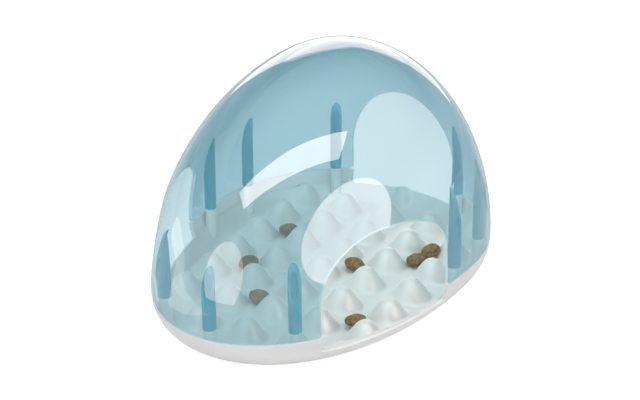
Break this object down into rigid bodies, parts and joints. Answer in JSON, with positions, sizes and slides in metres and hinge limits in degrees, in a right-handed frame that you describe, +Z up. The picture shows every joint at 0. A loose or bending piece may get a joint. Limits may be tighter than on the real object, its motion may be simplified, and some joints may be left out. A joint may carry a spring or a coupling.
{
  "type": "cat puzzle feeder",
  "caption": "Egg-shaped see-through dome with three paw arches on a white oval base whose tray of round hills hides dry food.",
  "frame": {"origin": "middle of the overall length and width, on the plane that the feet stand on", "axes": "+Z up; +X along the length towards the blunt end of the egg, where the end arch is; +Y towards the left side seen from above with +X ahead"},
  "size_m": [0.2768, 0.205, 0.1648],
  "materials": {
    "dome_plastic": "clear aqua-blue tint, polished",
    "tray_plastic": "white, satin",
    "foot_rubber": "soft light grey rubber",
    "screw_steel": "zinc plated",
    "kibble": "baked dry food, rough"
  },
  "bodies": {
    "base": {"base_hull": "tray_plastic", "hill_tray": "tray_plastic", "foot_blunt_left": "foot_rubber", "foot_left": "foot_rubber", "foot_nose_left": "foot_rubber", "foot_nose_right": "foot_rubber", "foot_right": "foot_rubber", "foot_blunt_right": "foot_rubber", "screw_nose_left": "screw_steel", "screw_nose_right": "screw_steel", "screw_middle_left": "screw_steel", "screw_middle_right": "screw_steel", "screw_blunt_left": "screw_steel", "screw_blunt_right": "screw_steel", "kibble_1": "kibble", "kibble_2": "kibble", "kibble_3": "kibble", "kibble_4": "kibble", "kibble_5": "kibble", "kibble_6": "kibble", "kibble_7": "kibble"},
    "dome": {"dome_cover": "dome_plastic"}
  },
  "joints": [
    {"name": "dome_lift", "type": "slide", "parent": "base", "child": "dome", "axis": [0, 0, 1], "range_m": [0, 0.06]}
  ]
}
